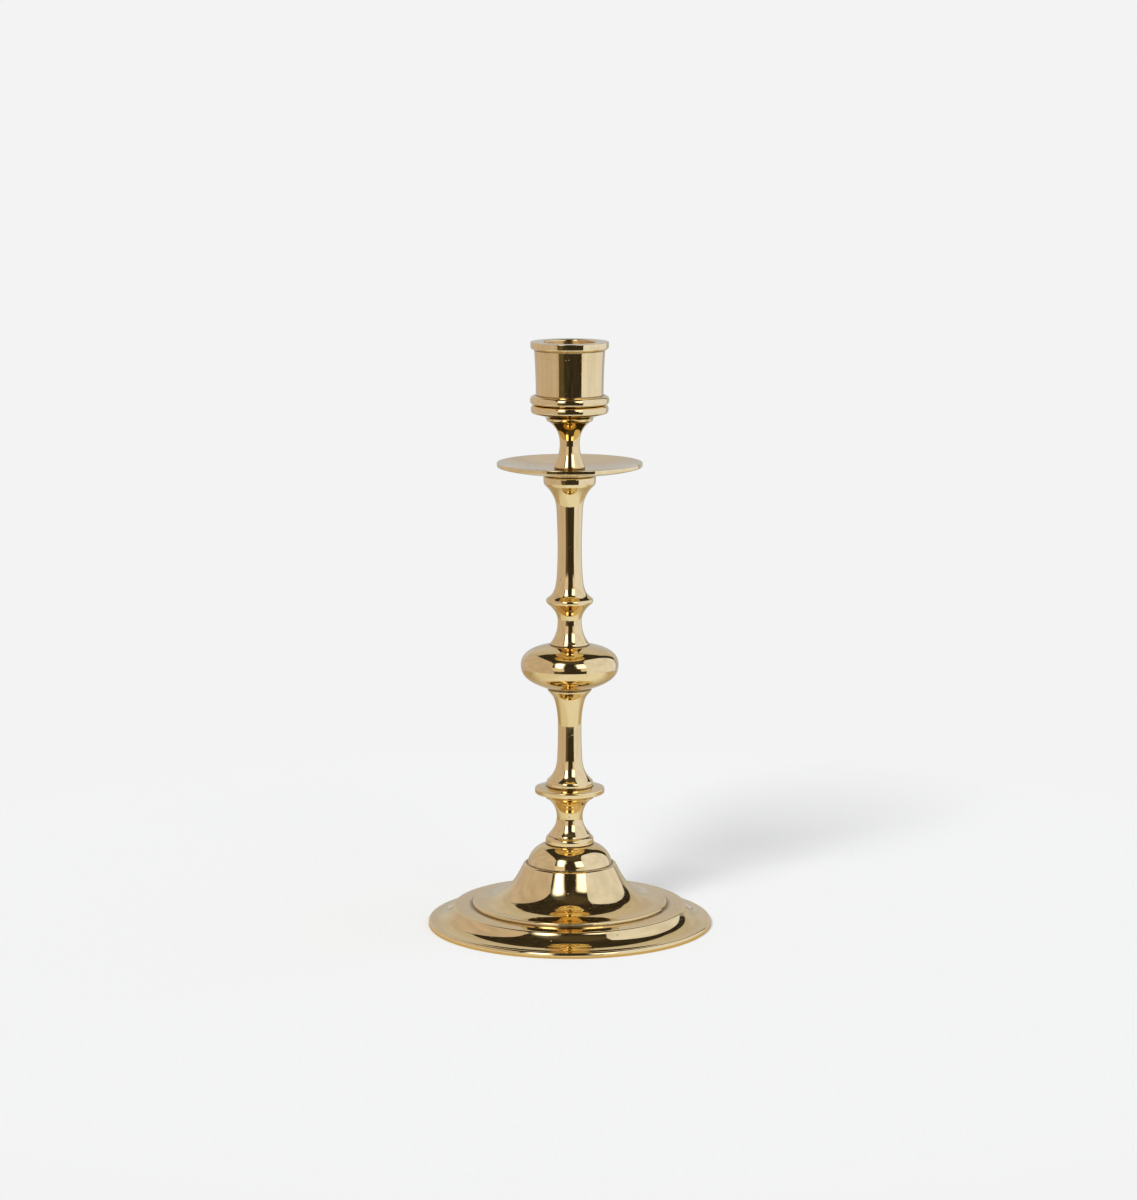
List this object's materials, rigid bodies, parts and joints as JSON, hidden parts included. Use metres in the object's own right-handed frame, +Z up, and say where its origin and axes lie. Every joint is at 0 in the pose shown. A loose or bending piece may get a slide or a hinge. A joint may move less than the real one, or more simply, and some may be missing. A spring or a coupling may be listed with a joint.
{
  "type": "candlestick",
  "caption": "Turned brass candlestick with a round stepped base, knopped stem, dished drip pan and a candle socket that unscrews.",
  "frame": {"origin": "on the candlestick's axis, in the plane that the base stands on", "axes": "+Z up along the axis, towards the candle"},
  "size_m": [0.1208, 0.1208, 0.2496],
  "materials": {
    "polished_brass": "hand-polished, lightly worn, with fine casting pits",
    "zinc_plated_steel": "zinc-plated, satin",
    "spring_steel": "oiled, dark"
  },
  "bodies": {
    "column": {"base": "polished_brass", "base_dome": "polished_brass", "base_collar": "polished_brass", "lower_stem": "polished_brass", "knop": "polished_brass", "upper_stem": "polished_brass", "stem_nut": "zinc_plated_steel", "tie_rod": "zinc_plated_steel", "base_washer": "zinc_plated_steel", "lock_washer": "spring_steel", "base_nut": "zinc_plated_steel"},
    "drip_pan": {"drip_pan": "polished_brass"},
    "candle_socket": {"socket_neck": "polished_brass", "socket_cup": "polished_brass"}
  },
  "joints": [
    {"name": "pan_lift", "type": "slide", "parent": "column", "child": "drip_pan", "axis": [0, 0, 1], "range_m": [0, 0.012]},
    {"name": "socket_turn", "type": "hinge", "parent": "drip_pan", "child": "candle_socket", "pos_m": [0, 0, 0.1965], "axis": [0, 0, 1], "range_deg": [0, 5400]}
  ],
  "couplings": [
    {"joint": "socket_turn", "follows": "pan_lift", "rad_per_m": 7854}
  ]
}
